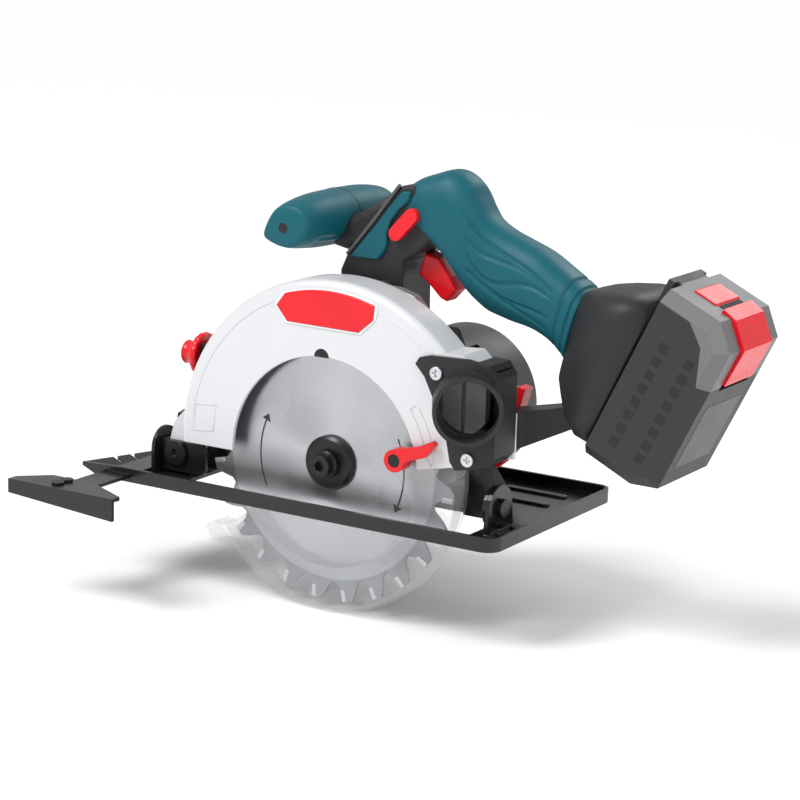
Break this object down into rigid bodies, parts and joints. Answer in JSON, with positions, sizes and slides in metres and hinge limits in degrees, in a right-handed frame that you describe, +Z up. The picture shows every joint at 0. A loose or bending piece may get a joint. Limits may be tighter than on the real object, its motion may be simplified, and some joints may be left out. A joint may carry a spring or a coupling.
{
  "type": "cordless circular saw",
  "caption": "Cordless circular saw with a tilting pressed-steel shoe, fixed upper guard, clear swinging lower guard, top grip, front handle, dust port and slide-on battery.",
  "frame": {"origin": "on the sole, straight below the arbor, on the strip beside the blade opening, 19 mm to the near side of the blade's middle plane", "axes": "+X to the rear where the battery is, +Y from the blade side to the motor side, +Z up from the sole"},
  "size_m": [0.4048, 0.2182, 0.257],
  "materials": {
    "black_steel": "black powder coat",
    "guard_paint": "satin white-silver paint",
    "red_plastic": "moulded red",
    "dark_plastic": "fine-grained moulded dark grey",
    "drum_plastic": "fine-grained moulded grey",
    "teal_rubber": "soft overmould",
    "blade_steel": "ground, radial brushing",
    "carbide": "ground carbide",
    "black_oxide": "black oxide",
    "zinc_screw": "bright zinc",
    "clear_guard": "clear polycarbonate",
    "cast_alloy": "as cast, blasted",
    "bright_steel": "ground",
    "gear_steel": "hardened, oiled",
    "iron_core": "laminated core",
    "copper": "enamelled copper wire",
    "board_green": "circuit board",
    "battery_grey": "moulded dark grey",
    "band_grey": "moulded light grey",
    "cell_sleeve": "shrink sleeve over steel cells"
  },
  "bodies": {
    "shoe": {"shoe_plate": "black_steel", "front_support": "black_steel", "rear_support": "black_steel", "base_rivets": "black_oxide", "bevel_pivot_pins": "black_oxide", "bevel_bolt": "zinc_screw", "guide_clamp": "black_steel"},
    "guide_screw": {"guide_screw": "red_plastic"},
    "guide": {"guide_bar": "black_steel", "guide_fence": "black_steel", "guide_rivets": "black_oxide"},
    "bevel_frame": {"front_bracket": "black_steel", "depth_pivot_bolt": "black_oxide", "rear_bracket": "black_steel"},
    "bevel_knob": {"bevel_knob": "red_plastic"},
    "saw": {"upper_guard": "guard_paint", "guard_badge": "red_plastic", "gear_housing": "cast_alloy", "guard_retainer": "bright_steel", "dust_port": "dark_plastic", "case_screws": "zinc_screw", "depth_bolt": "zinc_screw", "motor_housing": "drum_plastic", "motor_cap": "drum_plastic", "stator": "iron_core", "stator_windings": "copper", "ball_bearings": "bright_steel", "handle_left": "dark_plastic", "handle_right": "dark_plastic", "grip_left": "teal_rubber", "grip_right": "teal_rubber", "aux_handle_left": "teal_rubber", "aux_handle_right": "teal_rubber", "rear_brace": "dark_plastic", "trigger_switch": "dark_plastic", "driver_board": "board_green", "terminal_block": "dark_plastic", "guard_return_spring": "bright_steel"},
    "blade": {"saw_blade": "blade_steel", "blade_tips": "carbide", "inner_flange": "black_oxide", "outer_flange": "black_oxide", "blade_bolt": "black_oxide", "spindle": "bright_steel", "spindle_gear": "gear_steel"},
    "idler": {"idler_gear": "gear_steel"},
    "armature": {"motor_shaft": "bright_steel", "rotor_core": "iron_core", "cooling_fan": "dark_plastic"},
    "lower_guard": {"lower_guard": "clear_guard", "retract_lever": "red_plastic", "lever_screw": "black_oxide"},
    "depth_lever": {"depth_lever": "red_plastic"},
    "trigger": {"trigger": "red_plastic"},
    "lock_off": {"lock_off_button": "red_plastic"},
    "spindle_lock": {"spindle_lock_button": "dark_plastic"},
    "battery": {"battery_case": "battery_grey", "battery_band": "band_grey", "battery_cells": "cell_sleeve"},
    "battery_latch": {"battery_button": "red_plastic"}
  },
  "joints": [
    {"name": "bevel_tilt", "type": "hinge", "parent": "shoe", "child": "bevel_frame", "pos_m": [0, 0.025, 0.017], "axis": [1, 0, 0], "range_deg": [0, 45]},
    {"name": "depth_adjust", "type": "hinge", "parent": "bevel_frame", "child": "saw", "pos_m": [-0.1106, 0.028, 0.0156], "axis": [0, -1, 0], "range_deg": [0, 17]},
    {"name": "blade_spin", "type": "hinge", "parent": "saw", "child": "blade", "pos_m": [0, 0.019, 0.027], "axis": [0, 1, 0], "continuous": true},
    {"name": "idler_spin", "type": "hinge", "parent": "saw", "child": "idler", "pos_m": [0.01303, 0.047, 0.05402], "axis": [0, 1, 0], "continuous": true},
    {"name": "armature_spin", "type": "hinge", "parent": "saw", "child": "armature", "pos_m": [0.032, 0.079, 0.053], "axis": [0, 1, 0], "continuous": true},
    {"name": "guard_retract", "type": "hinge", "parent": "saw", "child": "lower_guard", "pos_m": [0, 0.019, 0.027], "axis": [0, -1, 0], "range_deg": [0, 112], "stiffness_Nm_per_rad": 0.08, "springref_deg": -68.75},
    {"name": "trigger_pull", "type": "slide", "parent": "saw", "child": "trigger", "axis": [0.6, 0, 0.8], "range_m": [0, 0.006], "stiffness_N_per_m": 900, "springref_m": -0.002},
    {"name": "lock_off_press", "type": "slide", "parent": "saw", "child": "lock_off", "axis": [0, 1, 0], "range_m": [0, 0.003], "stiffness_N_per_m": 800, "springref_m": -0.002},
    {"name": "spindle_lock_press", "type": "slide", "parent": "saw", "child": "spindle_lock", "axis": [0, -1, 0], "range_m": [0, 0.0032], "stiffness_N_per_m": 900, "springref_m": -0.002},
    {"name": "depth_lever_turn", "type": "hinge", "parent": "saw", "child": "depth_lever", "pos_m": [0.086, 0.061, 0.047], "axis": [0, 1, 0], "range_deg": [-25, 0]},
    {"name": "bevel_knob_turn", "type": "hinge", "parent": "shoe", "child": "bevel_knob", "pos_m": [-0.13, 0.069, 0.065], "axis": [1, 0, 0], "range_deg": [0, 120]},
    {"name": "guide_screw_turn", "type": "hinge", "parent": "shoe", "child": "guide_screw", "pos_m": [-0.1344, 0.117, 0.01], "axis": [0, 0, 1], "range_deg": [0, 180]},
    {"name": "guide_slide", "type": "slide", "parent": "shoe", "child": "guide", "axis": [0, -1, 0], "range_m": [-0.036, 0.024]},
    {"name": "battery_slide", "type": "slide", "parent": "saw", "child": "battery", "axis": [0.4305, 0, 0.9026], "range_m": [0, 0.1]},
    {"name": "battery_latch_press", "type": "slide", "parent": "battery", "child": "battery_latch", "axis": [-0.4305, 0, -0.9026], "range_m": [0, 0.003], "stiffness_N_per_m": 900, "springref_m": -0.002}
  ],
  "couplings": [
    {"joint": "idler_spin", "follows": "blade_spin", "ratio": -2.4286},
    {"joint": "armature_spin", "follows": "blade_spin", "ratio": 5.2619}
  ]
}
